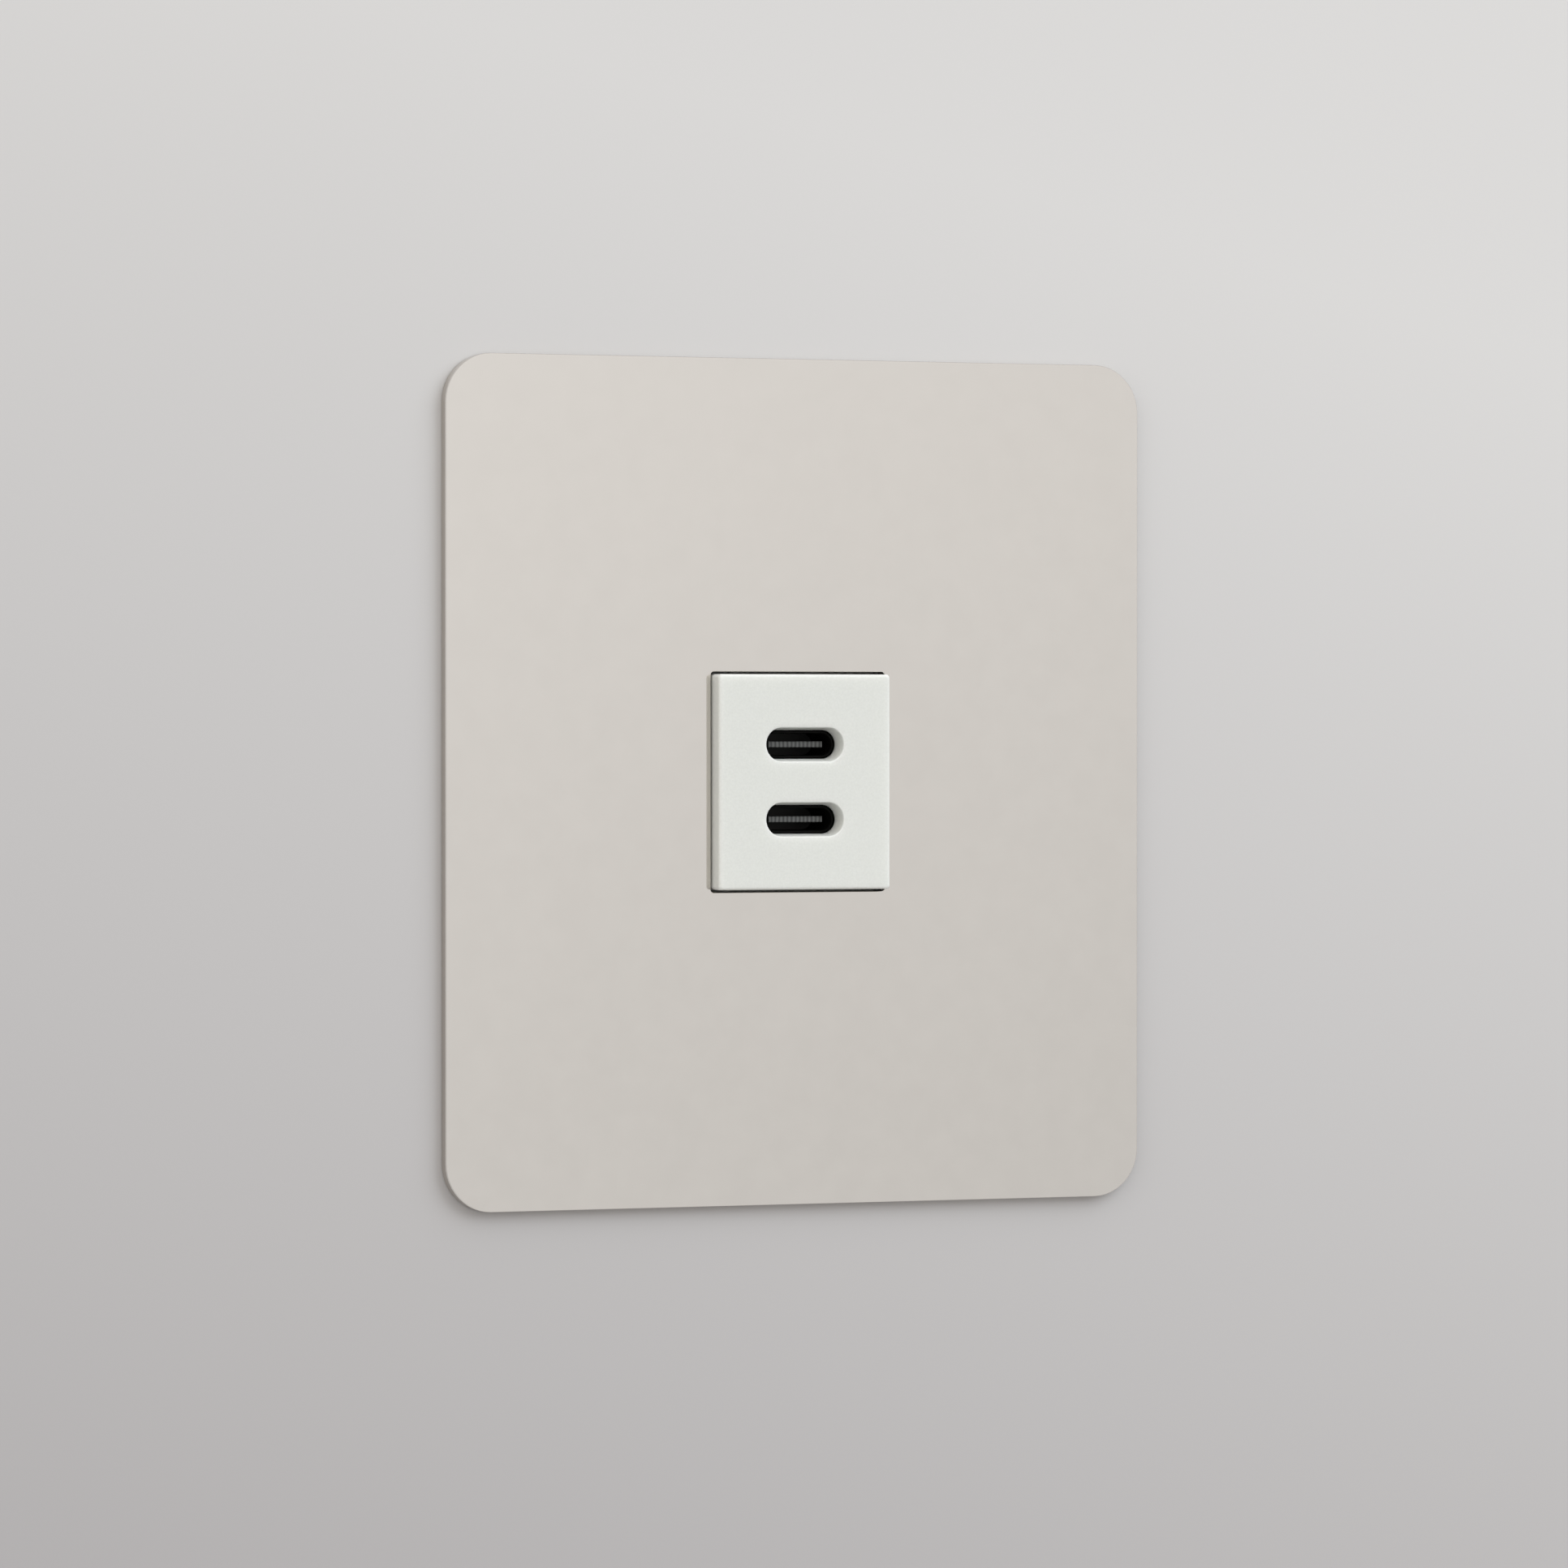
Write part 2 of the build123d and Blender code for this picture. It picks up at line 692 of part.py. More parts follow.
with BuildPart() as socket_board_screws:
    with BuildSketch(at_depth(socket_board_back)):
        with Locations(*socket_posts):
            Circle(board_head_diameter / 2)
    extrude(amount=-board_head_height)
    fillet(socket_board_screws.faces().group_by(Axis.Y)[-1].edges(), board_head_height / 3)
    with BuildSketch(at_depth(socket_board_back)):
        with Locations(*socket_posts):
            Circle(board_screw_diameter / 2)
    extrude(amount=board_screw_length)
save(socket_board_screws, "socket_board_screws")

# Port chip on the back of the socket board
with BuildPart() as port_chip:
    with BuildSketch(at_depth(socket_board_back)):
        Rectangle(port_chip_width, port_chip_width)
    extrude(amount=-port_chip_height)
    chamfer(port_chip.faces().sort_by(Axis.Y)[-1].edges(), chip_edge)
save(port_chip, "port_chip")

# Rear case: moulded box with board posts, terminal partitions and snap features
with BuildPart() as rear_case:
    with BuildSketch(at_depth(case_back)):
        RectangleRounded(case_width, case_height, case_corner_radius)
    extrude(amount=case_back - case_front)
    fillet(rear_case.faces().sort_by(Axis.Y)[-1].edges(), case_edge_radius)
    with BuildSketch(at_depth(case_inner_back)):
        Rectangle(2 * inner_half_width, 2 * inner_half_height)
    extrude(amount=case_inner_back - case_front, mode=Mode.SUBTRACT)
    # Posts for the power board
    with BuildSketch(at_depth(case_inner_back)):
        with Locations(*power_posts):
            Circle(power_post_diameter / 2)
    extrude(amount=case_inner_back - power_board_back)
    with BuildSketch(at_depth(power_board_back)):
        with Locations(*power_posts):
            Circle(board_screw_diameter / 2 + pilot_clearance)
    extrude(
        amount=power_board_thickness - board_screw_length - pilot_depth_margin, mode=Mode.SUBTRACT
    )
    # Partitions beside each terminal
    with BuildSketch(at_depth(case_inner_back)):
        with Locations(
            *[
                (x + side * partition_offset, (cage_top - inner_half_height) / 2)
                for x in terminals.values()
                for side in sides
            ]
        ):
            Rectangle(partition_wall, cage_top + inner_half_height)
    extrude(amount=case_inner_back - cage_front + partition_front_gap)
    # Screwdriver holes, smaller than the screw heads, each in a shallow recess
    with BuildSketch(at_depth(case_back)):
        with Locations(*[(x, cage_middle) for x in terminals.values()]):
            Circle(access_diameter / 2)
    extrude(amount=case_rear_wall, mode=Mode.SUBTRACT)
    with BuildSketch(at_depth(case_back)):
        with Locations(*[(x, cage_middle) for x in terminals.values()]):
            Circle(access_diameter / 2 + access_recess_margin)
    extrude(amount=access_recess_depth, mode=Mode.SUBTRACT)
    # Flared wire entries in the bottom wall
    with BuildSketch(at_height(-case_height / 2)):
        with Locations(*[(x, wire_entry_depth) for x in terminals.values()]):
            Circle(wire_entry_diameter / 2)
    extrude(amount=case_wall, mode=Mode.SUBTRACT)
    chamfer(
        rear_case.edges().filter_by(GeomType.CIRCLE).group_by(Axis.Z)[0],
        wire_entry_flare,
    )
    # Windows for the hooks of the cover
    window_length = hook_barb_length + 2 * hook_window_gap
    with Locations(
        *[
            (sx * case_width / 2, hook_tip - hook_barb_length / 2, sz * hook_spacing / 2)
            for sx in sides
            for sz in sides
        ]
    ):
        Box(4 * case_wall, window_length, hook_width + 2 * hook_window_gap, mode=Mode.SUBTRACT)
    # Ramps that click into the lugs of the frame
    for sz in sides:
        with BuildSketch(Plane.YZ):
            with BuildLine():
                Polyline(
                    (ramp_back - ramp_length, sz * case_height / 2),
                    (ramp_back, sz * (case_height / 2 + ramp_height)),
                    (ramp_back, sz * case_height / 2),
                    close=True,
                )
            make_face()
        extrude(amount=ramp_width / 2, both=True)
save(rear_case, "rear_case")

# Power board and its screws
with BuildPart() as power_board:
    with BuildSketch(at_depth(power_board_back)):
        with Locations((0, (board_bottom + board_top) / 2)):
            Rectangle(2 * board_half_width, board_top - board_bottom)
        with Locations(*power_posts):
            Circle(board_screw_diameter / 2 + board_hole_clearance, mode=Mode.SUBTRACT)
        with Locations(*header_places):
            pin_hole = header_pin_width + 2 * header_pin_clearance
            Rectangle(pin_hole, pin_hole, mode=Mode.SUBTRACT)
    extrude(amount=power_board_thickness)
save(power_board, "power_board")

with BuildPart() as power_board_screws:
    with BuildSketch(at_depth(power_board_front)):
        with Locations(*power_posts):
            Circle(board_head_diameter / 2)
    extrude(amount=board_head_height)
    fillet(power_board_screws.faces().group_by(Axis.Y)[0].edges(), board_head_height / 3)
    with BuildSketch(at_depth(power_board_front)):
        with Locations(*power_posts):
            Circle(board_screw_diameter / 2)
    extrude(amount=-board_screw_length)
save(power_board_screws, "power_board_screws")

# Header block and pins between the two boards
with BuildPart() as header_block:
    with BuildSketch(at_depth(power_board_front)):
        with Locations((0, header_z)):
            Rectangle(header_pins * header_pitch, header_pitch)
        with Locations(*header_places):
            pin_hole = header_pin_width + 2 * header_pin_clearance
            Rectangle(pin_hole, pin_hole, mode=Mode.SUBTRACT)
    extrude(amount=header_pitch)
save(header_block, "header_block")

with BuildPart() as header_pin_row:
    with BuildSketch(at_depth(power_board_back + header_stickout)):
        with Locations(*header_places):
            Rectangle(header_pin_width, header_pin_width)
    extrude(amount=power_board_back - socket_board_front + 2 * header_stickout)
save(header_pin_row, "header_pins")

# Transformer: a closed ferrite core, a bobbin on its middle leg and the winding
core_centre = power_board_front - bobbin_foot - (transformer_height - bobbin_foot) / 2
core_window_width = (transformer_width - core_middle_leg) / 2 - core_leg
core_window_length = transformer_length - 2 * core_yoke
window_offset = (core_middle_leg + core_window_width) / 2
bobbin_inner = core_middle_leg + 2 * winding_clearance
bobbin_depth_inner = core_depth + 2 * winding_clearance
winding_width = core_middle_leg + 2 * core_window_width - 2 * winding_clearance
winding_depth = transformer_height - bobbin_foot - 2 * winding_clearance
flange_half = core_window_length / 2 - winding_clearance
with BuildPart() as transformer_core:
    with BuildSketch(at_depth(core_centre + core_depth / 2)):
        with Locations((transformer_x, transformer_z)):
            Rectangle(transformer_width, transformer_length)
        with Locations(*[(transformer_x + s * window_offset, transformer_z) for s in sides]):
            Rectangle(core_window_width, core_window_length, mode=Mode.SUBTRACT)
    extrude(amount=core_depth)
save(transformer_core, "transformer_core")

with BuildPart() as transformer_bobbin:
    with BuildSketch(at_depth(power_board_front)):
        with Locations((transformer_x, transformer_z)):
            Rectangle(transformer_width, transformer_length)
    extrude(amount=bobbin_foot)
    for level in (transformer_z - flange_half, transformer_z + flange_half - bobbin_wall):
        with BuildSketch(at_height(level)):
            with Locations((transformer_x, power_board_front - transformer_height / 2)):
                Rectangle(winding_width, transformer_height)
            with Locations((transformer_x, core_centre)):
                Rectangle(bobbin_inner, bobbin_depth_inner, mode=Mode.SUBTRACT)
        extrude(amount=bobbin_wall)
    with BuildSketch(at_height(transformer_z - flange_half)):
        with Locations((transformer_x, core_centre)):
            Rectangle(bobbin_inner + 2 * bobbin_wall, bobbin_depth_inner + 2 * bobbin_wall)
            Rectangle(bobbin_inner, bobbin_depth_inner, mode=Mode.SUBTRACT)
    extrude(amount=2 * flange_half)
save(transformer_bobbin, "transformer_bobbin")

with BuildPart() as transformer_winding:
    with BuildSketch(at_height(transformer_z - flange_half + bobbin_wall)):
        with Locations((transformer_x, core_centre)):
            RectangleRounded(winding_width, winding_depth, core_window_width / 2)
            Rectangle(
                bobbin_inner + 2 * bobbin_wall,
                bobbin_depth_inner + 2 * bobbin_wall,
                mode=Mode.SUBTRACT,
            )
    extrude(amount=2 * (flange_half - bobbin_wall))
save(transformer_winding, "transformer_winding")

# Capacitors: round cans on the power board, each with a rolled groove near its foot
input_cans = [
    (input_capacitor_x, input_capacitor_z + row * (input_capacitor_diameter + part_gap))
    for row in range(2)
]
output_can_x = input_capacitor_x + (input_capacitor_diameter - output_capacitor_diameter) / 2
output_cans = [
    (output_can_x - row * (output_capacitor_diameter + part_gap), output_capacitor_z)
    for row in range(2)
]
capacitor_sets = {
    "input_capacitors": (input_cans, input_capacitor_diameter / 2, input_capacitor_height),
    "output_capacitors": (output_cans, output_capacitor_diameter / 2, output_capacitor_height),
}
groove = power_board_front - capacitor_groove_height
for name, (cans, radius, height) in capacitor_sets.items():
    with BuildPart() as capacitors:
        for x, z in cans:
            with BuildSketch(Plane(origin=(x, 0, z), x_dir=(1, 0, 0), z_dir=(0, 0, 1))):
                with BuildLine():
                    Polyline(
                        (0, power_board_front),
                        (radius, power_board_front),
                        (radius, groove + capacitor_groove_depth),
                        (radius - capacitor_groove_depth, groove),
                        (radius, groove - capacitor_groove_depth),
                        (radius, power_board_front - height),
                        (0, power_board_front - height),
                        close=True,
                    )
                make_face()
            revolve(axis=Axis((x, 0, z), (0, 1, 0)))
        fillet(capacitors.faces().group_by(Axis.Y)[0].edges(), capacitor_edge_radius)
    save(capacitors, name)

# Film capacitor, fuse and chips
with BuildPart() as film_capacitor:
    with BuildSketch(at_depth(power_board_front)):
        with Locations((film_x, film_z)):
            Rectangle(film_width, film_length)
    extrude(amount=film_height)
    fillet(film_capacitor.faces().sort_by(Axis.Y)[0].edges(), film_edge_radius)
save(film_capacitor, "film_capacitor")

with BuildPart() as fuse:
    with BuildSketch(at_depth(power_board_front)):
        with Locations((fuse_x, fuse_z)):
            Circle(fuse_diameter / 2)
    extrude(amount=fuse_height)
    fillet(fuse.faces().sort_by(Axis.Y)[0].edges(), fuse_edge_radius)
save(fuse, "fuse")

with BuildPart() as bridge_rectifier:
    with BuildSketch(at_depth(power_board_back)):
        with Locations((film_x, film_z)):
            Rectangle(bridge_width, bridge_length)
    extrude(amount=-bridge_height)
    chamfer(bridge_rectifier.faces().sort_by(Axis.Y)[-1].edges(), chip_edge)
save(bridge_rectifier, "bridge_rectifier")

with BuildPart() as controller_chip:
    with BuildSketch(at_depth(power_board_back)):
        with Locations((transformer_x, transformer_z)):
            Rectangle(controller_width, controller_length)
    extrude(amount=-controller_height)
    chamfer(controller_chip.faces().sort_by(Axis.Y)[-1].edges(), chip_edge)
save(controller_chip, "controller_chip")

# Choke: ferrite ring with separate wire turns around it
with BuildPart() as choke_core:
    with BuildSketch(at_depth(choke_middle + choke_thickness / 2)):
        with Locations((choke_x, choke_z)):
            Circle(choke_diameter / 2)
            Circle(choke_bore / 2, mode=Mode.SUBTRACT)
    extrude(amount=choke_thickness)
save(choke_core, "choke_core")

with BuildPart() as choke_winding:
    turn_reach = (choke_diameter - choke_bore) / 2
    turn_middle = (choke_diameter + choke_bore) / 4
    for turn in range(choke_turns):
        angle = 360 / choke_turns * (turn + 0.5)
        turn_plane = Plane(
            origin=(choke_x, choke_middle, choke_z),
            x_dir=Vector(1, 0, 0).rotate(Axis.Y, angle),
            z_dir=Vector(0, 0, 1).rotate(Axis.Y, angle),
        )
        with BuildSketch(turn_plane):
            with Locations((turn_middle, 0)):
                Rectangle(turn_reach + 2 * choke_wire, choke_thickness + 2 * choke_wire)
                Rectangle(
                    turn_reach + 2 * core_clearance,
                    choke_thickness + 2 * core_clearance,
                    mode=Mode.SUBTRACT,
                )
        extrude(amount=choke_wire / 2, both=True)
save(choke_winding, "choke_winding")

# Terminals: bus strip on the board, rising cage and captive screw
for name, x in terminals.items():
    with BuildPart() as bus_strip:
        with BuildSketch(at_depth(power_board_front)):
            with Locations((x, (bus_bottom + bus_top) / 2)):
                Rectangle(bus_width, bus_top - bus_bottom)
        extrude(amount=bus_thickness)
    save(bus_strip, f"{name}_bus_strip")

    with BuildPart() as cage:
        with BuildSketch(at_height(cage_bottom)):
            with Locations((x, (cage_front + cage_back) / 2)):
                Rectangle(cage_outer_width, cage_back - cage_front)
            with Locations((x, (cage_floor_back + cage_nut_front) / 2)):
                Rectangle(cage_inner_width, cage_nut_front - cage_floor_back, mode=Mode.SUBTRACT)
        extrude(amount=cage_height)
        with BuildSketch(at_depth(cage_back)):
            with Locations((x, cage_middle)):
                Circle(terminal_screw_diameter / 2 + thread_clearance)
        extrude(amount=cage_nut_wall, mode=Mode.SUBTRACT)
    save(cage, f"{name}_cage")

    with BuildPart() as clamp_screw:
        with BuildSketch(at_depth(terminal_head_back)):
            with Locations((x, cage_middle)):
                Circle(terminal_head_diameter / 2)
        extrude(amount=terminal_head_height)
        with BuildSketch(at_depth(terminal_head_front)):
            with Locations((x, cage_middle)):
                Circle(terminal_screw_diameter / 2)
        extrude(amount=terminal_screw_length)
        with BuildSketch(at_depth(terminal_head_back)):
            with Locations((x, cage_middle)):
                Rectangle(terminal_head_diameter, screw_slot_width)
        extrude(amount=screw_slot_depth, mode=Mode.SUBTRACT)
    save(clamp_screw, f"{name}_clamp_screw")
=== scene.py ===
"""Looks of the USB wall socket: finishes, threaded screws, the wall behind it, light and camera."""

import math
from collections import namedtuple

import bmesh
import bpy
from mathutils import Matrix, Vector


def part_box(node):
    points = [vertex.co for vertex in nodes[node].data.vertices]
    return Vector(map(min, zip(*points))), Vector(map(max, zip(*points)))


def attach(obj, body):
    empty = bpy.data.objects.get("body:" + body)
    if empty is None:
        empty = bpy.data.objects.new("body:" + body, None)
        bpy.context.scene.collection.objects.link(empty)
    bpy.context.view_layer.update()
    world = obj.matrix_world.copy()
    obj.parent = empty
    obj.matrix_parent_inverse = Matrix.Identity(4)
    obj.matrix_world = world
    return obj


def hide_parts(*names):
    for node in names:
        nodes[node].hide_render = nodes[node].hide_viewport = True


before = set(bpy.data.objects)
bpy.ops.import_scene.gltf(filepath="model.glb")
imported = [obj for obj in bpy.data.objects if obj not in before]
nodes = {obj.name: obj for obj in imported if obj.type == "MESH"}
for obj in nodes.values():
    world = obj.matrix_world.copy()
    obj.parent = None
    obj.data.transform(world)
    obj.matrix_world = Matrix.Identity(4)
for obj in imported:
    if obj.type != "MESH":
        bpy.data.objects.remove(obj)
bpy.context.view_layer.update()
MM = 0.001

# Camera, in degrees and millimetres, at the photo's viewing angle
CAMERA_AZIMUTH = -23.9
CAMERA_ELEVATION = 0.41
CAMERA_DISTANCE = 903.0
CAMERA_TARGET = (-1.76, -1.2, -0.24)
CAMERA_LENS = 182.7
SENSOR_WIDTH = 36.0

# Wall, in millimetres, with an opening a little inside the plate's outline. Its paint carries
# painted shade, dimmer away from the lamp, which fades in between two heights that fall towards
# the right by the lean.
WALL_SIZE = 6000.0
WALL_GAP = 0.1
PLATE_CORNER = 5.5
OPENING_INSET = 0.3
OPENING_CORNER_STEPS = 8
WALL_PALE = "DAD9D8"
WALL_PAINTED_SHADE = "B4B2B3"
WALL_PAINTED_SHADE_FADE = (-125.0, 75.0)
WALL_LEAN = 0.25

# Light: one large soft lamp at the upper right and a pale surround, which gives the fill and is
# the room that metal mirrors. Its backdrop is dimmed as painted shade where the wall's opening
# shows it, so the opening reads as a dark hole. Each step turns the brightness from first to last
# along an axis.
Step = namedtuple("Step", "axis start end first last")
FILL = [Step("X", -1.0, 1.0, 0.98, 0.52), Step("Z", -0.6, 0.6, 0.45, 1.55)]
ROOM = [
    Step("Z", -0.06, 0.05, 0.84, 1.02),
    Step("X", 0.36, 0.45, 1.0, 0.94),
    Step("X", -0.3, 0.25, 0.75, 1.0),
]
# Painted shade: the backdrop dims towards the wall, where its opening shows it
BACKDROP = [Step("Y", 0.3, 0.6, 1.0, 0.15)]
FILL_COLOUR = "FFFBF7"
ROOM_COLOUR = "FFFFFF"
BACKDROP_COLOUR = "D0CECD"
KEY_AZIMUTH = 45.0
KEY_ELEVATION = 35.0
KEY_DISTANCE = 1500.0
KEY_SIZE = 1300.0
KEY_POWER = 13.0
KEY_COLOUR = "EEF7FF"

# Screws, in millimetres: diameters and lengths of the solids
Screw = namedtuple("Screw", "head head_height neck neck_length thread pitch length")
FIXING_SCREW = Screw(
    head=6.6, head_height=2.0, neck=3.0, neck_length=1.8, thread=3.5, pitch=0.6, length=25.0
)
EARTH_SCREW = Screw(
    head=6.4, head_height=2.2, neck=2.9, neck_length=0.4, thread=3.5, pitch=0.6, length=7.0
)
CLAMP_SCREW = Screw(
    head=5.0, head_height=2.0, neck=2.5, neck_length=0.4, thread=3.0, pitch=0.5, length=6.2
)

# Thread, slot and rim of every screw, in millimetres. The ridge's half widths are shares of the
# pitch, and the rim's rounding is a share of the head's height.
THREAD_DEPTH = 0.3
THREAD_SINK = 0.05
RIDGE_ROOT = 0.45
RIDGE_CREST = 0.06
TIP_CHAMFER = 0.5
SLOT_WIDTH = 0.8
SLOT_DEPTH = 0.9
RIM_ROUNDING = 1 / 3
MERGE_DISTANCE = 0.001
THREAD_STEPS = 24
LATHE_STEPS = 40
RIM_STEPS = 4
SMOOTH_ANGLE = math.radians(35)

# Ways that a screw can point, as turns about X
INTO_WALL = math.radians(-90)
OUT_OF_WALL = math.radians(90)
UPWARD = 0.0

# Patterns, in millimetres: depths over which painted shade turns a tongue black into its slot,
# and what repeats on a finish
TONGUE_PAINTED_SHADE = (-0.3, 1.2)
CONTACT_SPACING = 0.5
TAPE_LAP = 2.4
TRACK_PITCH = 2.54
SLEEVE_RIPPLE = 1.2

# Grain: fine detail of the noise, and the part of its range that it mostly fills. The grain of
# moulded, plated and sintered surfaces is finer than can show, so the finishes draw it coarser.
GRAIN_DETAIL = 3.0
GRAIN_RANGE = (0.3, 0.7)

# What every metal finish adds, and the sockets of a Mix node that blends colours
METAL = {"Metallic": 1.0}
MIX_FACTOR, MIX_FIRST, MIX_SECOND = 0, 6, 7
MIX_RESULT = 2


def linear(hex_colour):
    """Linear RGBA of an sRGB hex colour."""
    channels = [int(hex_colour[i:i + 2], 16) / 255 for i in (0, 2, 4)]
    return [c / 12.92 if c <= 0.04045 else ((c + 0.055) / 1.055) ** 2.4 for c in channels] + [1.0]


def per_metre(size_mm):
    """Texture scale whose features are this many millimetres wide."""
    return 1 / (size_mm * MM)


def waves_per_metre(size_mm):
    """Scale of a wave texture, which repeats 20 / (2 pi) times per unit of it, for this spacing."""
    return per_metre(size_mm) * 2 * math.pi / 20


def put(tree, kind, inputs=None, **settings):
    """Add a node with its settings, and fill its inputs with values, sockets or other nodes."""
    node = tree.nodes.new(kind)
    for name, value in settings.items():
        setattr(node, name, value)
    for name, value in (inputs or {}).items():
        if isinstance(value, bpy.types.Node):
            value = value.outputs[0]
        if isinstance(value, bpy.types.NodeSocket):
            tree.links.new(value, node.inputs[name])
        else:
            node.inputs[name].default_value = value
    return node


def new_material(name):
    """Empty material, its node tree and the place of each point on the piece."""
    material = bpy.data.materials.new(name)
    material.use_nodes = True
    tree = material.node_tree
    tree.nodes.clear()
    return material, tree, put(tree, "ShaderNodeTexCoord").outputs["Object"]


def surface(tree, inputs):
    """Close a material with its surface."""
    shader = put(tree, "ShaderNodeBsdfPrincipled", inputs)
    put(tree, "ShaderNodeOutputMaterial", {"Surface": shader})


def grained(name, colours, grain_mm, relief_mm, roughness, look, stretch=(1, 1, 1)):
    """Finish whose grain varies colour, gloss and relief together."""
    material, tree, place = new_material(name)
    along = put(tree, "ShaderNodeMapping", {"Vector": place, "Scale": stretch})
    noise = {"Vector": along, "Scale": per_metre(grain_mm), "Detail": GRAIN_DETAIL}
    grain = put(tree, "ShaderNodeTexNoise", noise)
    lowest, highest = GRAIN_RANGE
    contrast = {"Value": grain, "From Min": lowest, "From Max": highest}
    factor = put(tree, "ShaderNodeMapRange", contrast)
    dark, pale = [linear(colour) for colour in colours]
    tones = {MIX_FACTOR: factor, MIX_FIRST: dark, MIX_SECOND: pale}
    colour = put(tree, "ShaderNodeMix", tones, data_type="RGBA").outputs[MIX_RESULT]
    smooth, rough = roughness
    gloss = put(tree, "ShaderNodeMapRange", {**contrast, "To Min": smooth, "To Max": rough})
    relief = put(tree, "ShaderNodeBump", {"Height": grain, "Distance": relief_mm * MM})
    surface(tree, {"Base Color": colour, "Roughness": gloss, "Normal": relief, **look})
    return material


def polished_nickel():
    """Buffed nickel plating: a warm grey mirror, too even for its buffing lines to show."""
    return grained(
        "polished_nickel",
        colours=("D7D2CC", "D9D4CE"),
        grain_mm=3.0,
        relief_mm=0.0001,
        roughness=(0.06, 0.09),
        look=METAL,
    )


def white_polycarbonate():
    """Moulded polycarbonate from a fine spark-eroded tool: white, satin, with soft highlights."""
    return grained(
        "white_polycarbonate",
        colours=("E1E3DF", "E7E9E5"),
        grain_mm=0.25,
        relief_mm=0.004,
        roughness=(0.34, 0.42),
        look={
            "IOR": 1.58,
            "Subsurface Weight": 1.0,
            "Subsurface Radius": (1.0, 1.0, 1.0),
            "Subsurface Scale": 1.0 * MM,
        },
    )


def grey_polycarbonate():
    """Moulded grey polycarbonate with a coarser matt tool texture."""
    return grained(
        "grey_polycarbonate",
        colours=("B4B6B7", "BDBFC0"),
        grain_mm=0.4,
        relief_mm=0.02,
        roughness=(0.50, 0.62),
        look={"IOR": 1.58},
    )


def zinc_plated_steel():
    """Pressed steel strip with bright zinc: cool grey, with rolling lines along the strip."""
    return grained(
        "zinc_plated_steel",
        colours=("AEB2B6", "C6C8C9"),
        grain_mm=0.5,
        relief_mm=0.003,
        roughness=(0.26, 0.42),
        look=METAL,
        stretch=(0.08, 1, 1),
    )


def bright_screw_steel():
    """Cold-headed steel screws with bright zinc: pale grey and glossy."""
    return grained(
        "bright_screw_steel",
        colours=("B9BBBC", "CFCFCD"),
        grain_mm=0.3,
        relief_mm=0.002,
        roughness=(0.22, 0.34),
        look=METAL,
    )


def bare_brass():
    """Drawn brass, slightly dulled by air."""
    return grained(
        "bare_brass",
        colours=("B8913F", "CDA854"),
        grain_mm=0.6,
        relief_mm=0.002,
        roughness=(0.24, 0.40),
        look=METAL,
    )


def gold_plate():
    """Thin gold plating over nickel on contacts and pins: even and glossy."""
    return grained(
        "gold_plate",
        colours=("D9AE55", "E3BC68"),
        grain_mm=0.2,
        relief_mm=0.0005,
        roughness=(0.16, 0.24),
        look=METAL,
    )


def natural_nylon():
    """Undyed moulded nylon: milky, with a soft sheen."""
    return grained(
        "natural_nylon",
        colours=("DFDACB", "E8E4D7"),
        grain_mm=0.5,
        relief_mm=0.004,
        roughness=(0.38, 0.48),
        look={"IOR": 1.53},
    )


def black_plated_steel():
    """Drawn receptacle shell with a dull black plating, coloured darker still as painted shade so that
    the slot reads as dark.
    """
    return grained(
        "black_plated_steel",
        # Painted shade: nearly black, so that the slot reads as dark
        colours=("060605", "0B0B0A"),
        grain_mm=0.3,
        relief_mm=0.001,
        roughness=(0.55, 0.68),
        look={"Specular IOR Level": 0.08},
    )


def grey_liquid_crystal_polymer():
    """Glass-filled polymer of the tongue: grey in ticks along the contacts at its tip, black deeper in
    as painted shade.
    """
    material, tree, place = new_material("grey_liquid_crystal_polymer")
    depth = put(tree, "ShaderNodeSeparateXYZ", {"Vector": place}).outputs["Y"]
    # Painted shade: the tongue turns from grey at its tip to black deeper in the slot
    tip, root = TONGUE_PAINTED_SHADE
    inward = {"Value": depth, "From Min": tip * MM, "From Max": root * MM}
    tongue_painted_shade = put(tree, "ShaderNodeMapRange", inward)
    scale = waves_per_metre(CONTACT_SPACING)
    row = {"Vector": place, "Scale": scale, "Distortion": 1.5, "Detail": 2.0}
    ticks = put(tree, "ShaderNodeTexWave", row).outputs["Fac"]
    greys = {MIX_FACTOR: ticks, MIX_FIRST: linear("343535"), MIX_SECOND: linear("6A6C6C")}
    tip_greys = put(tree, "ShaderNodeMix", greys, data_type="RGBA").outputs[MIX_RESULT]
    tones = {MIX_FACTOR: tongue_painted_shade, MIX_FIRST: tip_greys, MIX_SECOND: linear("121212")}
    colour = put(tree, "ShaderNodeMix", tones, data_type="RGBA").outputs[MIX_RESULT]
    surface(tree, {"Base Color": colour, "Roughness": 0.56, "IOR": 1.6})
    return material


def black_epoxy():
    """Transfer-moulded epoxy of chips, header and bobbin: matt black."""
    return grained(
        "black_epoxy",
        colours=("161617", "202021"),
        grain_mm=0.15,
        relief_mm=0.004,
        roughness=(0.48, 0.60),
        look={"IOR": 1.55},
    )


def sintered_ferrite():
    """Pressed and sintered ferrite: charcoal, slightly sparkling."""
    return grained(
        "sintered_ferrite",
        colours=("2A2A2C", "3C3C3F"),
        grain_mm=0.25,
        relief_mm=0.008,
        roughness=(0.40, 0.58),
        look={"IOR": 2.2},
    )


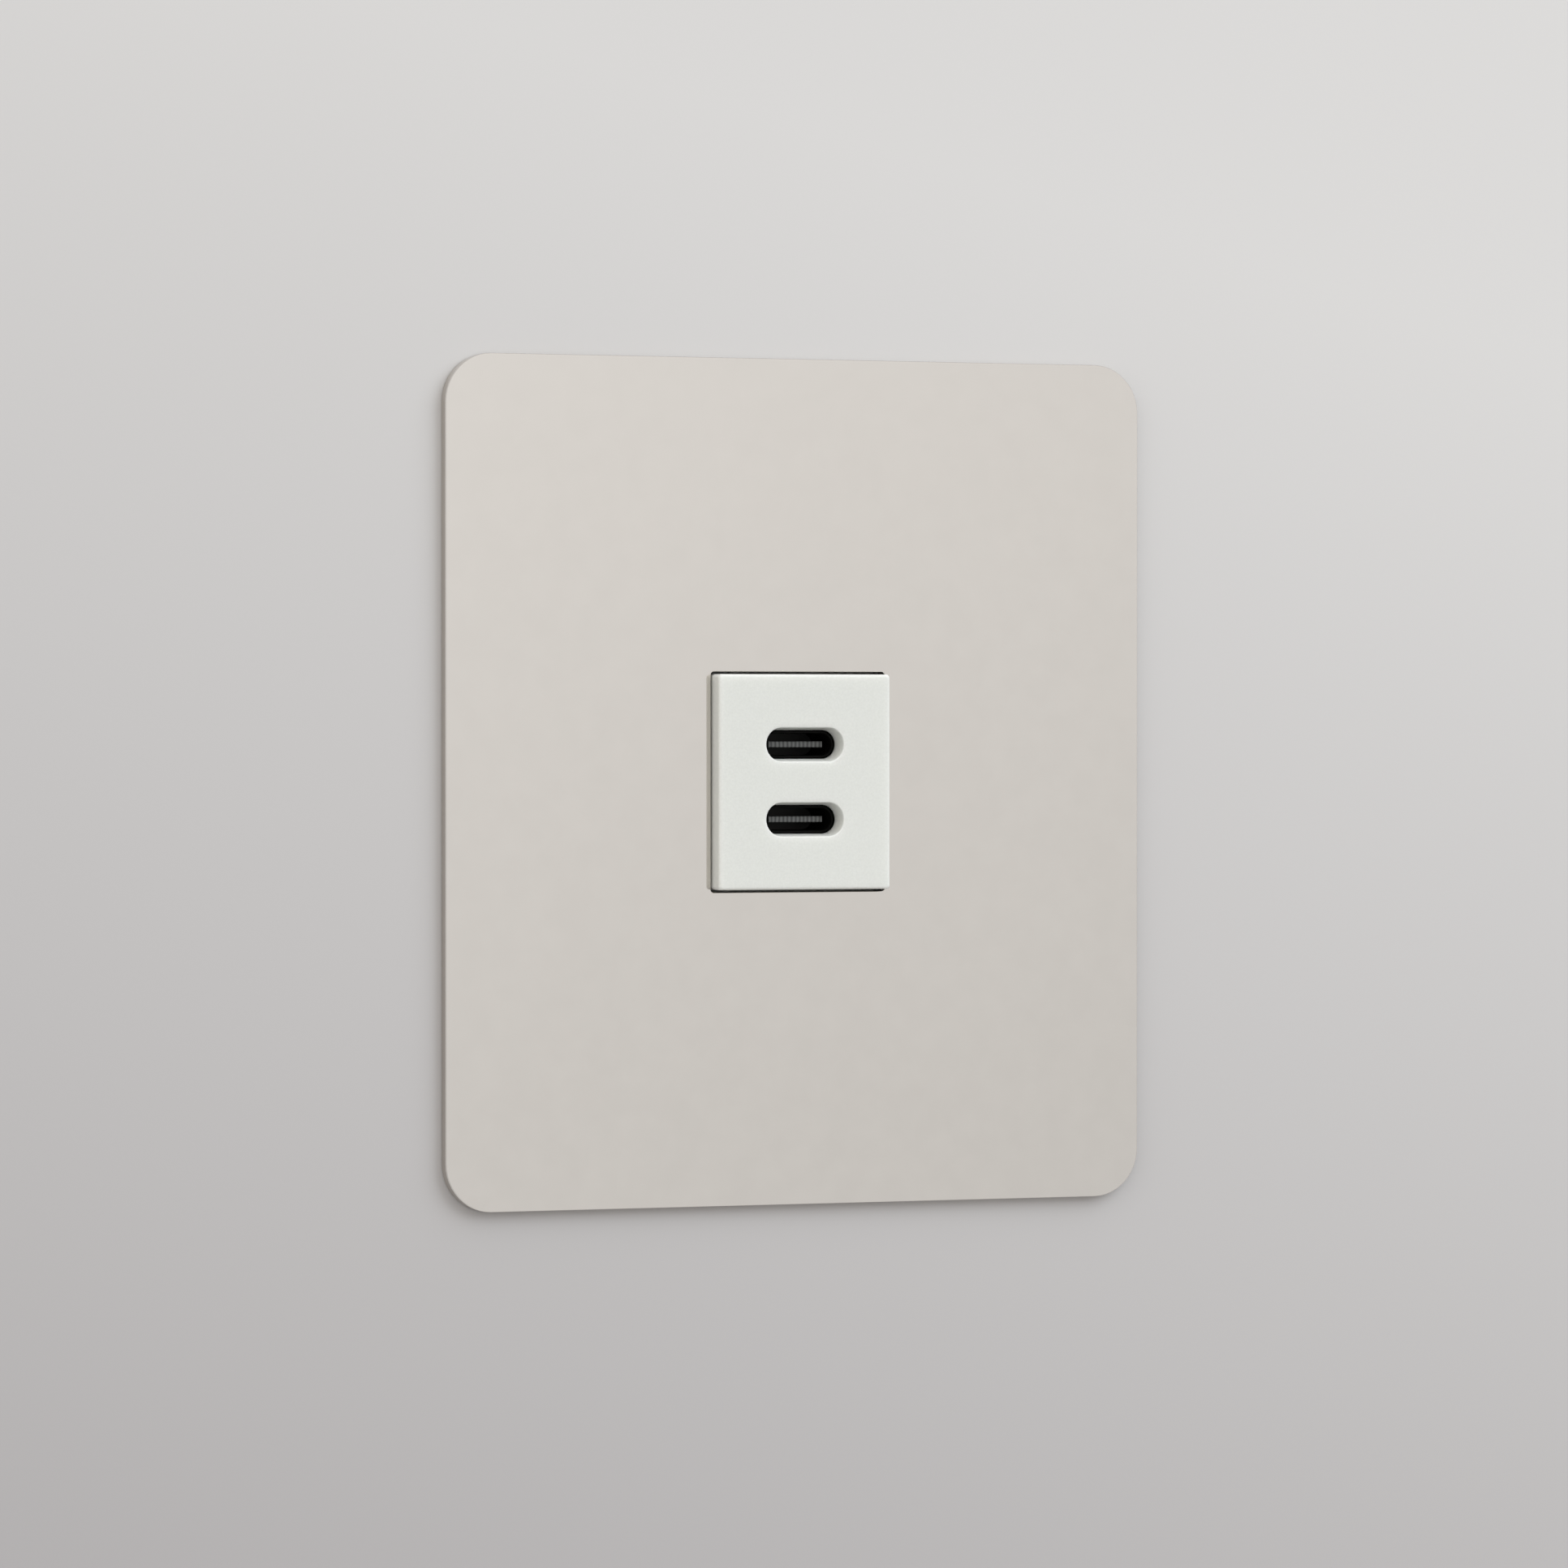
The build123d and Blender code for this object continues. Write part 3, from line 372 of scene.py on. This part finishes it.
def enamelled_copper():
    """Copper wire under clear red-brown enamel: glossy."""
    return grained(
        "enamelled_copper",
        colours=("8E4423", "A5562F"),
        grain_mm=0.4,
        relief_mm=0.001,
        roughness=(0.18, 0.28),
        look=METAL,
    )


def brown_phenolic():
    """Moulded body of the fuse: dark brown, half matt."""
    return grained(
        "brown_phenolic",
        colours=("33241B", "402E23"),
        grain_mm=0.3,
        relief_mm=0.005,
        roughness=(0.42, 0.55),
        look={"IOR": 1.6},
    )


def yellow_flame_retardant_box():
    """Moulded box of the film capacitor: dull yellow."""
    return grained(
        "yellow_flame_retardant_box",
        colours=("D2B13A", "DBBC4B"),
        grain_mm=0.3,
        relief_mm=0.006,
        roughness=(0.40, 0.52),
        look={"IOR": 1.55},
    )


def polyester_tape():
    """Yellow polyester tape around the winding: glossy film with the edges of its layers showing."""
    material, tree, place = new_material("polyester_tape")
    scale = waves_per_metre(TAPE_LAP)
    wound = {"Vector": place, "Scale": scale, "Distortion": 0.6, "Detail": 1.0}
    edges = put(tree, "ShaderNodeTexWave", wound, bands_direction="Z").outputs["Fac"]
    film = {MIX_FACTOR: edges, MIX_FIRST: linear("C99A16"), MIX_SECOND: linear("DDB02C")}
    colour = put(tree, "ShaderNodeMix", film, data_type="RGBA").outputs[MIX_RESULT]
    gloss = put(tree, "ShaderNodeMapRange", {"Value": edges, "To Min": 0.18, "To Max": 0.30})
    relief = put(tree, "ShaderNodeBump", {"Height": edges, "Distance": 0.02 * MM})
    surface(tree, {"Base Color": colour, "Roughness": gloss, "Normal": relief, "IOR": 1.6})
    return material


def green_solder_mask():
    """Glass board under green mask: paler where copper tracks run beneath it."""
    material, tree, place = new_material("green_solder_mask")
    flat = put(tree, "ShaderNodeMapping", {"Vector": place, "Rotation": (math.pi / 2, 0, 0)})
    grid = {"Vector": flat, "Scale": per_metre(TRACK_PITCH)}
    runs = {"Mortar Size": 0.12, "Brick Width": 2.0, "Row Height": 0.5}
    copper = put(tree, "ShaderNodeTexBrick", {**grid, **runs}).outputs["Fac"]
    mask = {MIX_FACTOR: copper, MIX_FIRST: linear("12472A"), MIX_SECOND: linear("2A6B40")}
    colour = put(tree, "ShaderNodeMix", mask, data_type="RGBA").outputs[MIX_RESULT]
    relief = put(tree, "ShaderNodeBump", {"Height": copper, "Distance": 0.03 * MM})
    surface(tree, {"Base Color": colour, "Roughness": 0.28, "Normal": relief, "IOR": 1.55})
    return material


def sleeved_can():
    """Aluminium can in a dark shrunk sleeve, bare on its top."""
    material, tree, place = new_material("sleeved_can")
    normal = put(tree, "ShaderNodeNewGeometry").outputs["Normal"]
    facing = put(tree, "ShaderNodeSeparateXYZ", {"Vector": normal}).outputs["Y"]
    towards_room = {"Value": facing, "From Min": -0.85, "From Max": -0.95}
    top = put(tree, "ShaderNodeMapRange", towards_room)
    ripple = {"Vector": place, "Scale": per_metre(SLEEVE_RIPPLE), "Detail": 2.0}
    shrink = put(tree, "ShaderNodeTexNoise", ripple)
    skin = {MIX_FACTOR: top, MIX_FIRST: linear("1B2230"), MIX_SECOND: linear("C4C6C8")}
    colour = put(tree, "ShaderNodeMix", skin, data_type="RGBA").outputs[MIX_RESULT]
    gloss = put(tree, "ShaderNodeMapRange", {"Value": shrink, "To Min": 0.26, "To Max": 0.38})
    relief = put(tree, "ShaderNodeBump", {"Height": shrink, "Distance": 0.02 * MM})
    surface(tree, {"Base Color": colour, "Metallic": top, "Roughness": gloss, "Normal": relief})
    return material


# Which finish each node has
FINISHES = {
    polished_nickel: ["front_plate"],
    white_polycarbonate: ["usb_bezel"],
    grey_polycarbonate: ["rear_case", "case_cover"],
    zinc_plated_steel: ["mounting_frame", "plate_studs"],
    bright_screw_steel: [
        "fixing_screws",
        "socket_board_screws",
        "power_board_screws",
        "live_clamp_screw",
        "neutral_clamp_screw",
    ],
    bare_brass: [
        "earth_screw",
        "earth_washer",
        "live_bus_strip",
        "neutral_bus_strip",
        "live_cage",
        "neutral_cage",
    ],
    gold_plate: ["usb_contacts_upper", "usb_contacts_lower", "header_pins"],
    natural_nylon: [name for name in nodes if name.startswith("stud_clip")],
    black_plated_steel: ["usb_shell_upper", "usb_shell_lower"],
    grey_liquid_crystal_polymer: ["usb_core_upper", "usb_core_lower"],
    green_solder_mask: ["socket_board", "power_board"],
    black_epoxy: [
        "port_chip",
        "controller_chip",
        "bridge_rectifier",
        "header_block",
        "transformer_bobbin",
    ],
    sintered_ferrite: ["transformer_core", "choke_core"],
    polyester_tape: ["transformer_winding"],
    enamelled_copper: ["choke_winding"],
    sleeved_can: ["input_capacitors", "output_capacitors"],
    yellow_flame_retardant_box: ["film_capacitor"],
    brown_phenolic: ["fuse"],
}


def finish_solids():
    """Give every solid its finish."""
    for finish, names in FINISHES.items():
        material = finish()
        for name in names:
            slots = nodes[name].data.materials
            slots.clear()
            slots.append(material)


def as_object(name, mesh):
    """Object in the scene, made from a mesh that has been shaped."""
    data = bpy.data.meshes.new(name)
    mesh.to_mesh(data)
    mesh.free()
    thing = bpy.data.objects.new(name, data)
    bpy.context.scene.collection.objects.link(thing)
    return thing


def closed_loop(mesh, corners):
    """Edges that join corners in a ring."""
    return [mesh.edges.new((corners[i - 1], corners[i])) for i in range(len(corners))]


def screw_blank(screw):
    """Headed blank with its bearing face at zero and its tip upward, in metres."""
    blank = bmesh.new()
    root = screw.thread / 2 - THREAD_DEPTH
    half_outline = [
        (0, -screw.head_height),
        (screw.head / 2, -screw.head_height),
        (screw.head / 2, 0),
        (screw.neck / 2, 0),
        (screw.neck / 2, screw.neck_length),
        (root, screw.neck_length),
        (root, screw.length - TIP_CHAMFER),
        (root - TIP_CHAMFER, screw.length),
        (0, screw.length),
    ]
    points = [blank.verts.new((radius * MM, 0, z * MM)) for radius, z in half_outline]
    lines = [blank.edges.new(pair) for pair in zip(points, points[1:])]
    bmesh.ops.spin(
        blank,
        geom=points + lines,
        cent=(0, 0, 0),
        axis=(0, 0, 1),
        angle=2 * math.pi,
        steps=LATHE_STEPS,
        use_merge=True,
    )
    near = MERGE_DISTANCE * MM
    bmesh.ops.remove_doubles(blank, verts=blank.verts, dist=near)
    bmesh.ops.recalc_face_normals(blank, faces=blank.faces)
    head_top = -screw.head_height * MM
    on_top = [v for v in blank.verts if abs(v.co.z - head_top) < near]
    around = {v for v in on_top if v.co.xy.length > near}
    bmesh.ops.bevel(
        blank,
        geom=[edge for edge in blank.edges if around.issuperset(edge.verts)],
        offset=screw.head_height * RIM_ROUNDING * MM,
        affect="EDGES",
        segments=RIM_STEPS,
        profile=0.5,
        material=-1,
    )
    return blank


def slotted_blank(screw):
    """Headed blank with a straight driver slot cut across its head."""
    bar = bmesh.new()
    bmesh.ops.create_cube(bar, size=MM)
    bmesh.ops.scale(bar, vec=(2 * screw.head, SLOT_WIDTH, 2 * SLOT_DEPTH), verts=bar.verts)
    bmesh.ops.translate(bar, vec=(0, 0, -screw.head_height * MM), verts=bar.verts)
    blank = as_object("blank", screw_blank(screw))
    cutter = as_object("cutter", bar)
    cut = blank.modifiers.new("slot", "BOOLEAN")
    cut.operation = "DIFFERENCE"
    cut.object = cutter
    slotted = bmesh.new()
    slotted.from_object(blank, bpy.context.evaluated_depsgraph_get())
    for tool in (blank, cutter):
        bpy.data.meshes.remove(tool.data)
    return slotted


def cut_thread(mesh, screw):
    """Wind the ridge of a thread round the shank of a screw."""
    root = screw.thread / 2 - THREAD_DEPTH - THREAD_SINK
    crest = screw.thread / 2
    start = screw.neck_length + screw.pitch / 2
    ridge = [
        (root, start - RIDGE_ROOT * screw.pitch),
        (crest, start - RIDGE_CREST * screw.pitch),
        (crest, start + RIDGE_CREST * screw.pitch),
        (root, start + RIDGE_ROOT * screw.pitch),
    ]
    corners = [mesh.verts.new((radius * MM, 0, z * MM)) for radius, z in ridge]
    first = closed_loop(mesh, corners)
    turns = int((screw.length - screw.neck_length) / screw.pitch) - 1
    wound = bmesh.ops.spin(
        mesh,
        geom=corners + first,
        cent=(0, 0, 0),
        axis=(0, 0, 1),
        dvec=(0, 0, screw.pitch / THREAD_STEPS * MM),
        angle=2 * math.pi * turns,
        steps=THREAD_STEPS * turns,
    )
    last = [item for item in wound["geom_last"] if isinstance(item, bmesh.types.BMEdge)]
    for end in (first, last):
        bmesh.ops.contextual_create(mesh, geom=end)
    bmesh.ops.recalc_face_normals(mesh, faces=mesh.faces)


def threaded_screw(screw, bearing, turn):
    """Slotted screw with its bearing face at a place, pointing the way it is turned."""
    mesh = slotted_blank(screw)
    cut_thread(mesh, screw)
    place = Matrix.Translation(bearing) @ Matrix.Rotation(turn, 4, "X")
    bmesh.ops.transform(mesh, matrix=place, verts=mesh.verts)
    return mesh


def dress_screw(node, mesh, body):
    """Put a threaded screw in the place of a plain one, on the same body."""
    screw = as_object(f"{node}_threaded", mesh)
    screw.data.shade_smooth()
    screw.data.set_sharp_from_angle(angle=SMOOTH_ANGLE)
    screw.data.materials.append(nodes[node].data.materials[0])
    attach(screw, body)
    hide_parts(node)


def fixing_screws():
    """Two screws into the back box, one at each ear."""
    low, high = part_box("fixing_screws")
    middle = (low + high) / 2
    left_axis = low.x + FIXING_SCREW.head / 2 * MM
    bearing = Vector((left_axis, high.y - FIXING_SCREW.length * MM, middle.z))
    mesh = threaded_screw(FIXING_SCREW, bearing, INTO_WALL)
    copy = bmesh.ops.duplicate(mesh, geom=mesh.verts[:] + mesh.edges[:] + mesh.faces[:])
    moved = [item for item in copy["geom"] if isinstance(item, bmesh.types.BMVert)]
    bmesh.ops.translate(mesh, vec=(2 * (middle.x - left_axis), 0, 0), verts=moved)
    dress_screw("fixing_screws", mesh, "socket")


def earth_screw():
    """Screw driven up through the earth tab."""
    low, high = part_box("earth_screw")
    middle = (low + high) / 2
    bearing = Vector((middle.x, middle.y, high.z - EARTH_SCREW.length * MM))
    dress_screw("earth_screw", threaded_screw(EARTH_SCREW, bearing, UPWARD), "earth_screw")


def clamp_screws():
    """Captive screws of the two terminals, driven from the back."""
    for node in ("live_clamp_screw", "neutral_clamp_screw"):
        low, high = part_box(node)
        middle = (low + high) / 2
        bearing = Vector((middle.x, low.y + CLAMP_SCREW.length * MM, middle.z))
        dress_screw(node, threaded_screw(CLAMP_SCREW, bearing, OUT_OF_WALL), node)


def wall_paint_and_shade():
    """Flat pale paint with painted shade, dimmer away from the lamp, seen from the room side only."""
    material, tree, place = new_material("flat_wall_paint_with_painted_shade")
    # Painted shade: the paint turns dimmer away from the lamp, between two heights that lean
    axes = put(tree, "ShaderNodeSeparateXYZ", {"Vector": place}).outputs
    lean = {0: axes["X"], 1: WALL_LEAN, 2: axes["Z"]}
    toward_lamp = put(tree, "ShaderNodeMath", lean, operation="MULTIPLY_ADD")
    dim_end, pale_end = WALL_PAINTED_SHADE_FADE
    reach = {"Value": toward_lamp, "From Min": dim_end * MM, "From Max": pale_end * MM}
    wall_painted_shade = put(tree, "ShaderNodeMapRange", reach)
    tones = {MIX_FACTOR: wall_painted_shade, MIX_FIRST: linear(WALL_PAINTED_SHADE), MIX_SECOND: linear(WALL_PALE)}
    colour = put(tree, "ShaderNodeMix", tones, data_type="RGBA").outputs[MIX_RESULT]
    paint = put(tree, "ShaderNodeBsdfDiffuse", {"Color": colour})
    clear = put(tree, "ShaderNodeBsdfTransparent")
    behind = put(tree, "ShaderNodeNewGeometry").outputs["Backfacing"]
    sides = put(tree, "ShaderNodeMixShader", {0: behind, 1: paint, 2: clear})
    put(tree, "ShaderNodeOutputMaterial", {"Surface": sides})
    return material


def rectangle(mesh, half_width, half_height):
    """Corners of a rectangle in the wall's plane, joined by edges."""
    corners = [
        mesh.verts.new((x * half_width, WALL_GAP * MM, z * half_height))
        for x, z in ((-1, -1), (1, -1), (1, 1), (-1, 1))
    ]
    closed_loop(mesh, corners)
    return corners


def wall():
    """Wall with an opening that the plate just covers, its face towards the room."""
    low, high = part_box("front_plate")
    half_opening = (high - low) / 2 - Vector((1, 0, 1)) * OPENING_INSET * MM
    mesh = bmesh.new()
    rectangle(mesh, WALL_SIZE / 2 * MM, WALL_SIZE / 2 * MM)
    opening = rectangle(mesh, half_opening.x, half_opening.z)
    bmesh.ops.bevel(
        mesh,
        geom=opening,
        offset=(PLATE_CORNER - OPENING_INSET) * MM,
        affect="VERTICES",
        segments=OPENING_CORNER_STEPS,
        profile=0.5,
        material=-1,
    )
    bmesh.ops.triangle_fill(mesh, edges=mesh.edges, use_beauty=True)
    if mesh.faces[:][0].normal.y > 0:
        bmesh.ops.reverse_faces(mesh, faces=mesh.faces)
    painted = as_object("wall", mesh)
    painted.data.materials.append(wall_paint_and_shade())


def outward(azimuth, elevation):
    """Unit vector from the object towards a viewer at these angles."""
    az, el = math.radians(azimuth), math.radians(elevation)
    return Vector((math.sin(az) * math.cos(el), -math.cos(az) * math.cos(el), math.sin(el)))


def aim(thing, target, azimuth, elevation, distance_mm):
    """Add a camera or lamp to the scene, at a place around a target and facing it."""
    direction = outward(azimuth, elevation)
    thing.location = target + direction * distance_mm * MM
    thing.rotation_euler = direction.to_track_quat("Z", "Y").to_euler()
    bpy.context.scene.collection.objects.link(thing)


def key_lamp():
    """Large soft lamp at the upper right, in front of the wall."""
    lamp = bpy.data.lights.new("key_lamp", "AREA")
    lamp.shape = "SQUARE"
    lamp.size = KEY_SIZE * MM
    lamp.energy = KEY_POWER
    lamp.color = linear(KEY_COLOUR)[:3]
    thing = bpy.data.objects.new("key_lamp", lamp)
    thing.visible_glossy = False
    aim(thing, Vector(), KEY_AZIMUTH, KEY_ELEVATION, KEY_DISTANCE)


def brightness(tree, steps):
    """Light from each direction, as a product of soft steps along the axes."""
    direction = put(tree, "ShaderNodeTexCoord").outputs["Generated"]
    axes = put(tree, "ShaderNodeSeparateXYZ", {"Vector": direction}).outputs
    level = 1.0
    for step in steps:
        reach = {"Value": axes[step.axis], "From Min": step.start, "From Max": step.end}
        levels = {"To Min": step.first, "To Max": step.last}
        shade = put(tree, "ShaderNodeMapRange", {**reach, **levels})
        level = put(tree, "ShaderNodeMath", {0: level, 1: shade}, operation="MULTIPLY")
    return level


def surround():
    """Pale surround: soft light from above, a room that metal mirrors, and a pale backdrop dimmed as
    painted shade where the wall's opening shows it.
    """
    world = bpy.data.worlds.new("pale_surround")
    world.use_nodes = True
    tree = world.node_tree
    tree.nodes.clear()
    lights = ((FILL_COLOUR, FILL), (ROOM_COLOUR, ROOM), (BACKDROP_COLOUR, BACKDROP))
    fill, room, backdrop = [
        put(
            tree,
            "ShaderNodeBackground",
            {"Color": linear(colour), "Strength": brightness(tree, steps)},
        )
        for colour, steps in lights
    ]
    rays = put(tree, "ShaderNodeLightPath").outputs
    clear_rays = {0: rays["Is Glossy Ray"], 1: rays["Is Transmission Ray"]}
    mirror_rays = put(tree, "ShaderNodeMath", clear_rays, operation="MAXIMUM")
    light = put(tree, "ShaderNodeMixShader", {0: mirror_rays, 1: fill, 2: room})
    seen = put(tree, "ShaderNodeMixShader", {0: rays["Is Camera Ray"], 1: light, 2: backdrop})
    put(tree, "ShaderNodeOutputWorld", {"Surface": seen})
    bpy.context.scene.world = world


def photo_camera():
    """Long lens to the left of the plate, level with it."""
    lens = bpy.data.cameras.new("photo_camera")
    lens.lens = CAMERA_LENS
    lens.sensor_width = SENSOR_WIDTH
    camera = bpy.data.objects.new("photo_camera", lens)
    target = Vector(CAMERA_TARGET) * MM
    aim(camera, target, CAMERA_AZIMUTH, CAMERA_ELEVATION, CAMERA_DISTANCE)
    bpy.context.scene.camera = camera


bpy.context.scene.view_settings.view_transform = "Standard"
finish_solids()
fixing_screws()
earth_screw()
clamp_screws()
wall()
key_lamp()
surround()
photo_camera()
